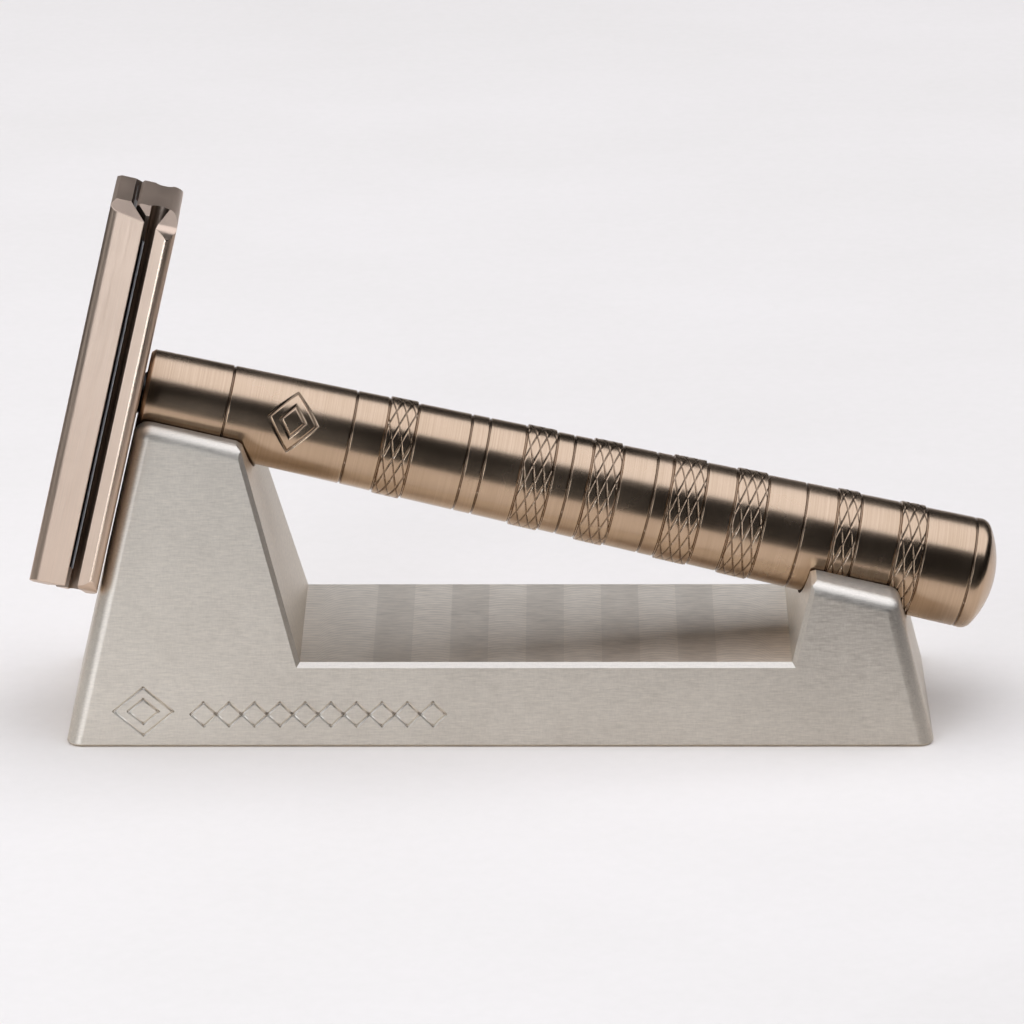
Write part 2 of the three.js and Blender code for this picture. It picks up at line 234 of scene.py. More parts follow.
# Colours of the metals and the paper, each running between a darker and a lighter tone
STAND_DARK = (0.68, 0.605, 0.51, 1)
STAND_LIGHT = (0.84, 0.76, 0.65, 1)
FLOOR_DARK = (0.75, 0.655, 0.535, 1)
FLOOR_LIGHT = (1.0, 0.89, 0.745, 1)
HANDLE_DARK = (0.45, 0.315, 0.205, 1)
HANDLE_LIGHT = (0.55, 0.395, 0.27, 1)
# Painted shade: the dark colour the handle's grooves, knurl and motif take on
HANDLE_CUT_SHADE = (0.09, 0.055, 0.035, 1)
HANDLE_WORN = (0.72, 0.58, 0.44, 1)
HEAD_DARK = (0.57, 0.425, 0.32, 1)
HEAD_LIGHT = (0.66, 0.495, 0.375, 1)
# Painted highlight: the lighter tone of the guard bars' edges, which are also smoother
GLINT_TONE = (0.78, 0.62, 0.48, 1)
# Painted shade: a darker bronze for the cap's underside and the hollows between the guard's bars
INNER_SHADE_DARK = (0.22, 0.165, 0.13, 1)
INNER_SHADE_LIGHT = (0.34, 0.265, 0.21, 1)
# The blade's flat steel is darkened as painted shade from the cap, and its ground edge is lighter as a
# painted highlight
BLADE_SHADE_TINT = (0.44, 0.42, 0.40)
GROUND_GLINT_TINT = (0.92, 0.91, 0.90)
SCREW_TINT = (0.60, 0.59, 0.57)
# How dark the steel's grain gets, as a share of its tint
STEEL_SHADE = 0.82
PAPER_DARK = (0.85, 0.785, 0.71, 1)
PAPER_LIGHT = (0.89, 0.82, 0.75, 1)

# Lanes of the end mill on the pocket's floor: their width, how much the first one takes up from
# the head wall, the number of the last one, and the size of the arcs' wave
LANE = 4.24
FIRST_LANE = 8.1
LAST_LANE = 9.0
ARC_WAVE = 0.12
# How much darker every other lane is, and how strongly the arcs show in the lanes between
LANE_DARKENING = 0.15
ARC_CONTRAST = 0.09

# The least and the greatest roughness of each metal, and the paper's
STAND_ROUGHNESS = (0.44, 0.54)
FLOOR_ROUGHNESS = (0.50, 0.58)
HANDLE_ROUGHNESS = (0.23, 0.28)
HEAD_ROUGHNESS = (0.32, 0.42)
GLINT_ROUGHNESS = (0.2, 0.3)
BLADE_ROUGHNESS = (0.25, 0.35)
GROUND_ROUGHNESS = (0.45, 0.55)
SCREW_ROUGHNESS = (0.2, 0.32)
PAPER_ROUGHNESS = 0.75

# Grain and clouding, in waves per millimetre along X, Y and Z of the piece, and their relief in mm
STAND_GRAIN = (0.8, 5.5, 5.5)
STAND_END_GRAIN = (5.5, 0.8, 5.5)
# The end grain fades in where the normal's part along X goes through this range
ENDWISE_RANGE = (0.5, 0.8)
STAND_HATCH = (6.0, 6.0, 0.8)
STAND_CLOUD = (0.06, 0.06, 0.06)
STAND_RELIEF = 0.006
FLOOR_GRAIN = (0.5, 2.6, 2.6)
FLOOR_CLOUD = (0.25, 0.12, 0.12)
FLOOR_RELIEF = 0.0015
HANDLE_GRAIN = (7.0, 0.05, 0.05)
HANDLE_CLOUD = (0.1, 0.1, 0.1)
HANDLE_RELIEF = 0.0016
HEAD_GRAIN = (9.0, 9.0, 0.12)
HEAD_CLOUD = (0.12, 0.12, 0.12)
HEAD_RELIEF = 0.006
BLADE_GRAIN = (6.0, 6.0, 0.2)
SCREW_GRAIN = (6.0, 0.3, 0.3)
STEEL_RELIEF = 0.003
PAPER_BROAD = (0.012, 0.02, 0.02)
PAPER_FINE = (0.6, 0.6, 0.6)
PAPER_RELIEF = 0.02
NOISE_ROUGHNESS = 0.6
# Between these values of its noise, a surface goes from its one tone or roughness to the other
GRAIN_RANGE = (0.35, 0.65)
STAND_RANGE = (0.36, 0.64)
SHEEN_RANGE = (0.38, 0.62)
FLOOR_RANGE = (0.2, 0.8)
STEEL_RANGE = (0.3, 0.7)
ANISOTROPY = 0.3
# The mesh's pointiness where edge wear starts and where it is full
WEAR_RANGE = (0.53, 0.62)

# The room is in metres throughout. The table runs from its front edge to a bend, where it sweeps up.
TABLE_FRONT = -2.0
TABLE_BEND = 1.2
TABLE_BEND_RADIUS = 0.5
TABLE_BEND_ANGLES = (0.1, 1.2)
TABLE_BEND_STEPS = 10
TABLE_HALF_WIDTH = 2.5
# The edge of the lit table, beyond which reflections see black cards that reach FLAG_REACH
FLAG_EDGE = [(-0.16, -0.40), (-0.025, -0.15), (0.012, -0.108), (0.05, -0.072), (0.115, -0.03)]
FLAG_REACH = 2.0
FLAG_COLOUR = (0.01, 0.01, 0.01, 1)
FLAG_ROUGHNESS = 0.9
WORLD_COLOUR = (0.9, 0.92, 0.95, 1)
WORLD_STRENGTH = 0.012

# Lights: name, place, what it points at, size, power in watts, colour, and whether it shows in
# reflections
ORIGIN = (0, 0, 0)
STAND_MIDDLE = (0, 0, 0.02)
LIGHTS = [
    ("softbox_above", (0, 0.10, 0.85), ORIGIN, (2.6, 1.2), 15.8, (0.92, 0.99, 1.14), True),
    ("softbox_left", (-0.29, -0.46, 0.16), STAND_MIDDLE, (0.25, 0.45), 0.82, (0.90, 0.99, 1.13), True),
    ("strip_left", (-0.19, -0.50, 0.12), STAND_MIDDLE, (0.03, 0.35), 0.16, (0.92, 1.0, 1.12), True),
    ("softbox_far_left", (-0.55, 0, 0.12), STAND_MIDDLE, (0.22, 0.3), 0.15, (0.92, 1.0, 1.08), True),
    ("floor_fill", (0, 0.10, 1.4), ORIGIN, (2.5, 2.5), 7.8, (1.0, 0.95, 0.90), False),
]

# Camera: its lens and sensor in millimetres, then where it stands and how it is turned
CAMERA_LENS = 213.8
CAMERA_SENSOR = 36
CAMERA_TARGET = Vector((1.301, 0, 22.573)) * MM
CAMERA_DISTANCE = 681.1 * MM
CAMERA_ELEVATION = math.radians(20.28)
CAMERA_YAW = math.radians(-0.474)
CAMERA_ROLL = math.radians(0.198)


# --- Meshes ---

def mesh_from(bm):
    """A new mesh from a bmesh, which is freed."""
    mesh = bpy.data.meshes.new("work")
    bm.normal_update()
    bm.to_mesh(mesh)
    bm.free()
    return mesh


def hull(points):
    """The convex hull of some points, with its flat faces whole."""
    bm = bmesh.new()
    for point in points:
        bm.verts.new(point)
    found = bmesh.ops.convex_hull(bm, input=bm.verts, use_existing_faces=False)
    inner = set(found["geom_interior"] + found["geom_unused"])
    spare = [v for v in bm.verts if v in inner or not v.link_faces]
    bmesh.ops.delete(bm, geom=spare, context="VERTS")
    bmesh.ops.dissolve_limit(bm, angle_limit=FLAT_ANGLE, verts=bm.verts, edges=bm.edges)
    return mesh_from(bm)


def along_x(u, v, w):
    return (w, u, v)


def along_y(u, v, w):
    return (u, w, v)


def along_z(u, v, w):
    return (u, v, w)


def prism(outline, place):
    """An outline of (u, v) pulled through, as w goes from -THROUGH to THROUGH, along one axis."""
    bm = bmesh.new()
    near = [bm.verts.new(place(u, v, -THROUGH)) for u, v in outline]
    far = [bm.verts.new(place(u, v, THROUGH)) for u, v in outline]
    bm.faces.new(near)
    bm.faces.new(far)
    for i in range(len(outline)):
        j = (i + 1) % len(outline)
        bm.faces.new((near[i], near[j], far[j], far[i]))
    bmesh.ops.recalc_face_normals(bm, faces=bm.faces)
    return mesh_from(bm)


def lathe(profile, columns):
    """(station, radius) points turned about the razor's axis. Points on the axis become poles."""
    bm = bmesh.new()
    rings = []
    for station, radius in profile:
        count = columns if radius > 0 else 1
        ring = []
        for i in range(count):
            angle = 2 * math.pi * i / columns
            ring.append(bm.verts.new((station, radius * math.cos(angle), radius * math.sin(angle))))
        rings.append(ring)
    for near, far in zip(rings, rings[1:]):
        for i in range(columns):
            j = (i + 1) % columns
            if len(near) == 1:
                bm.faces.new((near[0], far[i], far[j]))
            elif len(far) == 1:
                bm.faces.new((near[i], near[j], far[0]))
            else:
                bm.faces.new((near[i], near[j], far[j], far[i]))
    bmesh.ops.recalc_face_normals(bm, faces=bm.faces)
    return mesh_from(bm)


def modified(mesh, kind, values):
    """The mesh after one modifier of a kind, with its properties as {property: value}."""
    work = bpy.data.objects.new("work", mesh)
    bpy.context.scene.collection.objects.link(work)
    modifier = work.modifiers.new(kind, kind)
    for name, value in values.items():
        setattr(modifier, name, value)
    bpy.context.view_layer.update()
    evaluated = work.evaluated_get(bpy.context.evaluated_depsgraph_get())
    done = bpy.data.meshes.new_from_object(evaluated)
    bpy.data.objects.remove(work)
    return done


def boolean(mesh, cutter, operation="DIFFERENCE", overlapping=False):
    """The mesh cut by, or kept inside, a cutter, whose own parts may overlap."""
    tool = bpy.data.objects.new("cutter", cutter)
    bpy.context.scene.collection.objects.link(tool)
    values = {"object": tool, "operation": operation, "solver": "EXACT", "use_self": overlapping}
    done = modified(mesh, "BOOLEAN", values)
    bpy.data.objects.remove(tool)
    return done


def joined(meshes):
    """One mesh that holds them all, as they are."""
    bm = bmesh.new()
    for mesh in meshes:
        bm.from_mesh(mesh)
    return mesh_from(bm)


def edges_broken(mesh, width):
    """The mesh with a narrow rounded bevel on its sharp edges."""
    return modified(mesh, "BEVEL", {
        "width": width,
        "segments": 2,
        "limit_method": "ANGLE",
        "angle_limit": BREAK_ANGLE,
        "use_clamp_overlap": True,
        "miter_outer": "MITER_ARC",
        "harden_normals": False,
    })


def arc(centre, radius, start, end, steps):
    """Points along an arc, both ends included."""
    angles = [start + (end - start) * i / steps for i in range(steps + 1)]
    return [(centre[0] + radius * math.cos(a), centre[1] + radius * math.sin(a)) for a in angles]


RAZOR_PLACE = (
    Matrix.Translation((0, 0, AXIS_HEIGHT * MM))
    @ Matrix.Rotation(TILT, 4, "Y")
    @ Matrix.Rotation(-ROLL, 4, "X")
)


def add_piece(name, mesh, body, materials, node, place=Matrix.Identity(4), crease=CREASE):
    """Stores a mesh made in millimetres as a finished piece that stands for one CAD node."""
    mesh.name = name
    mesh.transform(Matrix.Scale(MM, 4))
    mesh.polygons.foreach_set("use_smooth", [True] * len(mesh.polygons))
    mesh.set_sharp_from_angle(angle=math.radians(crease))
    mesh.materials.clear()
    for material in materials:
        mesh.materials.append(material)
    piece = bpy.data.objects.new(name, mesh)
    bpy.context.scene.collection.objects.link(piece)
    piece.matrix_world = place
    weighted = piece.modifiers.new("even_normals", "WEIGHTED_NORMAL")
    weighted.keep_sharp = True
    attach(piece, body)
    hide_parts(node)
    return piece


def set_materials(piece, choose):
    """Gives each face the material whose number comes from its middle, in millimetres, and normal."""
    for polygon in piece.data.polygons:
        polygon.material_index = int(choose(polygon.center / MM, polygon.normal))


# --- Materials ---

class Nodes:
    """Short calls for building one material's node tree."""

    def __init__(self, name):
        self.material = bpy.data.materials.new(name)
        self.material.use_nodes = True
        self.tree = self.material.node_tree
        self.shader = self.tree.nodes["Principled BSDF"]

    def add(self, kind, inputs=None, **values):
        node = self.tree.nodes.new(kind)
        for name, value in values.items():
            setattr(node, name, value)
        for name, value in (inputs or {}).items():
            self.feed(node, name, value)
        return node

    def feed(self, node, name, value):
        if isinstance(value, bpy.types.NodeSocket):
            self.tree.links.new(value, node.inputs[name])
        else:
            node.inputs[name].default_value = value

    def math(self, operation, a, b=0.0, c=0.0):
        node = self.add("ShaderNodeMath", {0: a, 1: b, 2: c}, operation=operation)
        return node.outputs[0]

    def place(self):
        return self.add("ShaderNodeTexCoord").outputs["Object"]

    def split(self, vector):
        return self.add("ShaderNodeSeparateXYZ", {0: vector}).outputs

    def noise(self, scales, detail):
        """Noise with its own scale, in waves per millimetre, along each axis."""
        inputs = {0: self.place(), 1: [scale / MM for scale in scales]}
        scaled = self.add("ShaderNodeVectorMath", inputs, operation="MULTIPLY")
        inputs = {
            "Vector": scaled.outputs[0],
            "Scale": 1.0,
            "Detail": detail,
            "Roughness": NOISE_ROUGHNESS,
        }
        return self.add("ShaderNodeTexNoise", inputs).outputs[0]

    def between(self, value, old, new=(0, 1)):
        """The value, clamped to its old range and stretched to a new one."""
        inputs = {0: value, 1: old[0], 2: old[1], 3: new[0], 4: new[1]}
        return self.add("ShaderNodeMapRange", inputs, clamp=True).outputs[0]

    def mix(self, share, a, b):
        node = self.add("ShaderNodeMix", {0: share, 6: a, 7: b}, data_type="RGBA")
        return node.outputs[2]

    def blend(self, a, b, share):
        """A share of one value and the rest of another."""
        rest = self.math("MULTIPLY", b, 1 - share)
        return self.math("ADD", self.math("MULTIPLY", a, share), rest)

    def shade(self, value, span, dark, light):
        """A colour that runs from dark to light as the value goes through its span."""
        return self.mix(self.between(value, span), dark, light)

    def bump(self, height, distance):
        """Relief, its full height given in millimetres."""
        inputs = {"Height": height, "Distance": distance * MM, "Strength": 1.0}
        self.feed(self.shader, "Normal", self.add("ShaderNodeBump", inputs).outputs[0])

    def set(self, **values):
        for name, value in values.items():
            self.feed(self.shader, name.replace("_", " "), value)


def edge_wear(nodes):
    """Near 1 on outside edges, from the mesh's own pointiness."""
    point = nodes.add("ShaderNodeNewGeometry").outputs["Pointiness"]
    return nodes.between(point, WEAR_RANGE)


def stand_metal():
    """Satin aluminium, brushed along the block's length and, on its ends, across it."""
    nodes = Nodes("satin_aluminium")
    normal = nodes.split(nodes.add("ShaderNodeNewGeometry").outputs["Normal"])
    endwise = nodes.between(nodes.math("ABSOLUTE", normal[0]), ENDWISE_RANGE)
    along = nodes.noise(STAND_GRAIN, detail=3)
    across = nodes.noise(STAND_END_GRAIN, detail=3)
    grain = nodes.add("ShaderNodeMix", {0: endwise, 2: along, 3: across}).outputs[0]
    hatch = nodes.noise(STAND_HATCH, detail=2)
    cloud = nodes.noise(STAND_CLOUD, detail=5)
    tone = nodes.math("MULTIPLY_ADD", grain, 0.55, nodes.math("MULTIPLY", hatch, 0.2))
    tone = nodes.math("MULTIPLY_ADD", cloud, 0.25, tone)
    colour = nodes.shade(tone, STAND_RANGE, STAND_DARK, STAND_LIGHT)
    rough = nodes.between(nodes.blend(grain, cloud, 0.7), SHEEN_RANGE, STAND_ROUGHNESS)
    nodes.set(Base_Color=colour, Roughness=rough, Metallic=1.0)
    nodes.bump(grain, STAND_RELIEF)
    return nodes.material


def milled_metal():
    """The pocket's floor: lanes of an end mill, each with its own arcs, and a light brushing."""
    nodes = Nodes("milled_aluminium")
    place = nodes.split(nodes.place())
    first = (FLOOR_HEAD_X + FIRST_LANE) * MM
    lanes = nodes.math("DIVIDE", nodes.math("SUBTRACT", place[0], first), LANE * MM)
    lane = nodes.math("MAXIMUM", nodes.math("FLOOR", lanes), -1.0)
    lane = nodes.math("MINIMUM", lane, LAST_LANE)
    inside = nodes.math("SUBTRACT", nodes.math("SUBTRACT", lanes, lane), 0.5)
    odd = nodes.math("PINGPONG", nodes.math("ADD", lane, 1.0), 1.0)
    way = nodes.math("MULTIPLY_ADD", odd, 2.0, -1.0)
    reach = nodes.math("MULTIPLY_ADD", inside, nodes.math("MULTIPLY", inside, -1.0), 1.0)
    reach = nodes.math("SQRT", nodes.math("MAXIMUM", reach, 0.0))
    swing = nodes.math("MULTIPLY", nodes.math("MULTIPLY", reach, LANE * MM), way)
    wave = nodes.math("DIVIDE", nodes.math("ADD", place[1], swing), ARC_WAVE * MM)
    wave = nodes.math("SINE", wave)
    grain = nodes.noise(FLOOR_GRAIN, detail=3)
    cloud = nodes.noise(FLOOR_CLOUD, detail=4)
    tone = nodes.math("MULTIPLY_ADD", cloud, 0.3, nodes.math("MULTIPLY", odd, -LANE_DARKENING))
    tone = nodes.math("MULTIPLY_ADD", grain, 0.9, tone)
    arcs = nodes.math("MULTIPLY", wave, nodes.math("SUBTRACT", 1.0, odd))
    tone = nodes.math("MULTIPLY_ADD", arcs, ARC_CONTRAST, tone)
    colour = nodes.shade(tone, FLOOR_RANGE, FLOOR_DARK, FLOOR_LIGHT)
    rough = nodes.between(tone, FLOOR_RANGE, FLOOR_ROUGHNESS)
    nodes.set(Base_Color=colour, Roughness=rough, Metallic=1.0)
    nodes.bump(wave, FLOOR_RELIEF)
    return nodes.material


def handle_metal():
    """Bronze anodised aluminium with fine turning marks, and painted shade darkening its cuts."""
    nodes = Nodes("anodised_bronze")
    turned = nodes.noise(HANDLE_GRAIN, detail=4)
    cloud = nodes.noise(HANDLE_CLOUD, detail=4)
    depth = nodes.add("ShaderNodeAttribute", attribute_name="depth").outputs["Fac"]
    colour = nodes.shade(nodes.blend(turned, cloud, 0.6), GRAIN_RANGE, HANDLE_DARK, HANDLE_LIGHT)
    # Painted shade in the cuts, the deeper the darker
    colour = nodes.mix(depth, colour, HANDLE_CUT_SHADE)
    colour = nodes.mix(nodes.math("MULTIPLY", edge_wear(nodes), 0.5), colour, HANDLE_WORN)
    rough = nodes.between(cloud, GRAIN_RANGE, HANDLE_ROUGHNESS)
    nodes.set(Base_Color=colour, Roughness=rough, Metallic=1.0, Anisotropic=ANISOTROPY)
    nodes.bump(turned, HANDLE_RELIEF)
    return nodes.material


def head_metal(name, dark, light, roughness=HEAD_ROUGHNESS):
    """Pale bronze anodising, brushed along the head."""
    nodes = Nodes(name)
    grain = nodes.noise(HEAD_GRAIN, detail=4)
    cloud = nodes.noise(HEAD_CLOUD, detail=4)
    colour = nodes.shade(nodes.blend(grain, cloud, 0.6), GRAIN_RANGE, dark, light)
    rough = nodes.between(grain, GRAIN_RANGE, roughness)
    nodes.set(Base_Color=colour, Roughness=rough, Metallic=1.0, Anisotropic=ANISOTROPY)
    nodes.bump(grain, HEAD_RELIEF)
    return nodes.material


def steel(name, scales, tint, roughness):
    """Steel with a fine grain, a little darker along it."""
    nodes = Nodes(name)
    grain = nodes.noise(scales, detail=4)
    dark = [STEEL_SHADE * share for share in tint]
    colour = nodes.shade(grain, STEEL_RANGE, (*dark, 1), (*tint, 1))
    rough = nodes.between(grain, STEEL_RANGE, roughness)
    nodes.set(Base_Color=colour, Roughness=rough, Metallic=1.0)
    nodes.bump(grain, STEEL_RELIEF)
    return nodes.material


def floor_paper():
    """Matt pale paper with a faint mottle."""
    nodes = Nodes("pale_floor")
    broad = nodes.noise(PAPER_BROAD, detail=5)
    fine = nodes.noise(PAPER_FINE, detail=3)
    colour = nodes.shade(nodes.blend(broad, fine, 0.7), GRAIN_RANGE, PAPER_DARK, PAPER_LIGHT)
    nodes.set(Base_Color=colour, Roughness=PAPER_ROUGHNESS)
    nodes.bump(fine, PAPER_RELIEF)
    return nodes.material


STAND_METAL = stand_metal()
MILLED_METAL = milled_metal()
HANDLE_METAL = handle_metal()
HEAD_METAL = head_metal("anodised_pale_bronze", HEAD_DARK, HEAD_LIGHT)
# A darker copy of the head's bronze, painted shade for its inward faces and hollows
HEAD_PAINTED_SHADE = head_metal("anodised_bronze_painted_shade", INNER_SHADE_DARK, INNER_SHADE_LIGHT)
# The bars' edges: smoother, and lighter as a painted glint
HEAD_GLINT_EDGE = head_metal("bronze_edge_painted_glint", HEAD_LIGHT, GLINT_TONE, GLINT_ROUGHNESS)
# Blade steel darkened as painted shade, and its ground edge lightened as a painted highlight
BLADE_STEEL_SHADED = steel("blade_steel", BLADE_GRAIN, BLADE_SHADE_TINT, BLADE_ROUGHNESS)
GROUND_STEEL_GLINT = steel("ground_steel_painted_glint", BLADE_GRAIN, GROUND_GLINT_TINT, GROUND_ROUGHNESS)
SCREW_STEEL = steel("screw_steel", SCREW_GRAIN, SCREW_TINT, SCREW_ROUGHNESS)


# --- Stand ---

def handle_radius(station):
    return HANDLE_RADIUS + HANDLE_TAPER * station


def slant_top(x):
    """The height of the stand's slanting top."""
    return AXIS_HEIGHT - REST_DROP / math.cos(TILT) - x * math.tan(TILT)


TOP_NORMAL = Vector((math.sin(TILT), 0, math.cos(TILT)))


def end_normal(end):
    slope = TILT if end < 0 else TAIL_SLOPE
    return Vector((end * math.cos(slope), 0, math.sin(slope)))


def side_normal(side):
    return Vector((0, side * math.cos(SIDE_DRAFT), math.sin(SIDE_DRAFT)))


def corner_point(side, end, inset, normal, distance):
    """Where the planes `inset` inside the end and side faces cross the plane normal . p = distance."""
    end_face = end_normal(end)
    side_face = side_normal(side)
    reach = Vector((
        BASE_LENGTH / 2 * abs(end_face.x) - inset,
        BASE_WIDTH / 2 * abs(side_face.y) - inset,
        distance,
    ))
    return Matrix((end_face, side_face, normal)).inverted() @ reach


def stand_outside():
    """The block before anything is cut: its corners rounded all round, and its foot chamfered."""
    up = Vector((0, 0, 1))
    points = []
    for side in (-1, 1):
        for end in (-1, 1):
            top = slant_top(0) * TOP_NORMAL.z - OUTER_RADIUS
            ball = corner_point(side, end, OUTER_RADIUS, TOP_NORMAL, top)
            foot = corner_point(side, end, OUTER_RADIUS, up, 0)
            edge = (ball - foot).normalized()
            for i in range(CORNER_STEPS + 1):
                around = end_normal(end).slerp(side_normal(side), i / CORNER_STEPS)
                for height in (0, FOOT_CHAMFER):
                    point = foot + around * (OUTER_RADIUS - FOOT_CHAMFER + height)
                    points.append(point + edge * ((height - point.z) / edge.z))
                for j in range(CORNER_STEPS + 1):
                    points.append(ball + around.slerp(TOP_NORMAL, j / CORNER_STEPS) * OUTER_RADIUS)
    return hull(points)


def pocket_corners(grow, inset, side):
    """The pocket's outline grown by `grow`, on the plane `inset` inside the front or back face."""
    corners = []
    for height in (FLOOR_HEIGHT - grow, THROUGH / 2):
        rise = height - FLOOR_HEIGHT
        y = side * (BASE_WIDTH / 2 - height * math.tan(SIDE_DRAFT) - inset)
        head_x = FLOOR_HEAD_X - grow / math.cos(HEAD_WALL_SLOPE) - rise * math.tan(HEAD_WALL_SLOPE)
        tail_x = FLOOR_TAIL_X + grow / math.cos(TAIL_WALL_SLOPE) + rise * math.tan(TAIL_WALL_SLOPE)
        corners += [(head_x, y, height), (tail_x, y, height)]
    return corners


def pocket_cutters():
    """The pocket, and the chamfers where it opens through the front and back."""
    cutters = [hull(pocket_corners(0, -BASE_WIDTH, -1) + pocket_corners(0, -BASE_WIDTH, 1))]
    for side in (-1, 1):
        near = pocket_corners(0, POCKET_CHAMFER, side)
        far = pocket_corners(2 * POCKET_CHAMFER, -POCKET_CHAMFER, side)
        cutters.append(hull(near + far))
    return cutters


def wall_top_cutter(floor_x, slope, direction):
    """Breaks the edge between a pocket wall and the slanting top."""
    lean = direction * math.tan(slope)
    x = (floor_x + lean * (slant_top(0) - FLOOR_HEIGHT)) / (1 + lean * math.tan(TILT))
    z = slant_top(x)
    size = POCKET_CHAMFER
    outline = [
        (x + direction * size * math.cos(TILT), z - direction * size * math.sin(TILT)),
        (x - direction * size * math.sin(slope), z - size * math.cos(slope)),
        (x - direction * size, z + size),
    ]
    return prism(outline, along_y)


def tilted(station, y, rise):
    """A point by its station along the razor's axis, with no roll."""
    cos, sin = math.cos(TILT), math.sin(TILT)
    return (station * cos + rise * sin, y, AXIS_HEIGHT - station * sin + rise * cos)


def saddle_cutters():
    """The cradle for the handle, and what breaks its lips on both sides."""
    ends = [(-THROUGH, handle_radius(-THROUGH) + GAP), (THROUGH, handle_radius(THROUGH) + GAP)]
    bore = lathe([(ends[0][0], 0), *ends, (ends[1][0], 0)], SADDLE_COLUMNS)
    bore.transform(Matrix.Translation((0, 0, AXIS_HEIGHT)) @ Matrix.Rotation(TILT, 4, "Y"))
    cutters = [bore]
    for side in (-1, 1):
        points = []
        for station, radius in ends:
            y = math.sqrt(radius ** 2 - REST_DROP ** 2)
            for step, rise in SADDLE_LIP:
                points.append(tilted(station, side * (y + step), rise - REST_DROP))
        cutters.append(hull(points))
    return cutters


def on_front(x, height, out):
    """A point on the front face, by its x, its distance up the face and how far it stands off it."""
    lean = math.sin(SIDE_DRAFT)
    rise = math.cos(SIDE_DRAFT)
    return Vector((x, -BASE_WIDTH / 2 + height * lean - out * rise, height * rise + out * lean))


def groove_cutter(start, end):
    """A V-shaped cut along a line on the front face, with its ends tapered."""
    direction = (Vector(end) - Vector(start)).normalized()
    side = Vector((-direction.y, direction.x)) * ENGRAVING_WIDTH
    reach = direction * ENGRAVING_WIDTH / 2
    points = []
    for corner, way in ((Vector(start), -1), (Vector(end), 1)):
        for share in (-1, 1):
            points.append(on_front(*(corner + way * reach + share * side), ENGRAVING_DEPTH))
        points.append(on_front(*corner, -ENGRAVING_DEPTH))
    return hull(points)


def engraving():
    """The V-shaped cuts of the whole ornament."""
    cutters = []
    for x, height, half_length, half_height in ORNAMENT:
        corners = [
            (x - half_length, height),
            (x, height + half_height),
            (x + half_length, height),
            (x, height - half_height),
        ]
        cutters += [groove_cutter(corners[i - 1], corners[i]) for i in range(4)]
    return joined(cutters)


def on_pocket_floor(centre, normal):
    return abs(centre.z - FLOOR_HEIGHT) < CLEAR and normal.z > NEARLY_FLAT


def build_stand():
    """The block with its pocket, saddles and engraving, and a second metal on the pocket's floor."""
    block = stand_outside()
    for cutter in [
        *pocket_cutters(),
        wall_top_cutter(FLOOR_HEAD_X, HEAD_WALL_SLOPE, -1),
        wall_top_cutter(FLOOR_TAIL_X, TAIL_WALL_SLOPE, 1),
        *saddle_cutters(),
    ]:
        block = boolean(block, cutter)
    block = edges_broken(block, EDGE_BREAK)
    block = boolean(block, engraving(), overlapping=True)
    materials = [STAND_METAL, MILLED_METAL]
    stand = add_piece("stand_body", block, "stand", materials, "stand_block")
    set_materials(stand, on_pocket_floor)


# --- Handle ---

def tail_outline():
    """The rounded edge and the shallow dome of the tail, without the point on the axis."""
    radius = handle_radius(TAIL_EDGE)
    centre = (TAIL_EDGE - TAIL_EDGE_RADIUS, radius - TAIL_EDGE_RADIUS)
    edge_end = math.pi / 2 - TAIL_EDGE_SPAN
    edge = arc(centre, TAIL_EDGE_RADIUS, math.pi / 2, edge_end, TAIL_EDGE_STEPS)
    rise = TAIL_TIP - edge[-1][0]
    dome_radius = (edge[-1][1] ** 2 + rise ** 2) / (2 * rise)
    span = math.asin(edge[-1][1] / dome_radius)
    dome = arc((TAIL_TIP - dome_radius, 0), dome_radius, span, 0, TAIL_DOME_STEPS)
    return edge + dome[1:-1]


def groove_outline(at, width, depth):
    """A round-bottomed groove with soft lips."""
    left = [(-share, sink) for share, sink in reversed(GROOVE_SHAPE)]
    radius = handle_radius(at)
    return [(at + share * width / 2, radius - depth * sink) for share, sink in left + GROOVE_SHAPE]


def band_outline(start, end):
    """A knurled band with a narrow groove on each side, before its lines are cut."""
    left = groove_outline(start - BORDER_WIDTH / 2, BORDER_WIDTH, BORDER_DEPTH)[:-1]
    right = groove_outline(end + BORDER_WIDTH / 2, BORDER_WIDTH, BORDER_DEPTH)[1:]
    steps = math.ceil((end - start) / KNURL_STEP)
    middle = []
    for i in range(steps + 1):
        station = start + (end - start) * i / steps
        edge = min(station - start, end - station)
        rise = BAND_RISE * min(1.0, BAND_END_SHARE + edge / BAND_RAMP)
        middle.append((station, handle_radius(station) + rise))
    return left + middle + right


def knurl_depth(stations, angles):
    """How deep the crossing helical lines cut, on a grid of stations and angles."""
    sink = np.zeros((len(stations), len(angles)))
    for start, end, turn, first in BANDS:
        inside = (stations >= start) & (stations <= end)
        slope = KNURL_PITCH * KNURL_STARTS / (2 * math.pi)
        swing = slope * (angles[None, :] - math.radians(turn))
        shift = stations[inside][:, None] - start - first
        for way in (-1, 1):
            off = np.abs((shift + way * swing) / KNURL_PITCH % 1.0 - 0.5)
            distance = (0.5 - off) * KNURL_PITCH
            cut = np.clip(1 - distance / (KNURL_WIDTH / 2), 0, 1)
            sink[inside] = np.maximum(sink[inside], cut)
    return sink


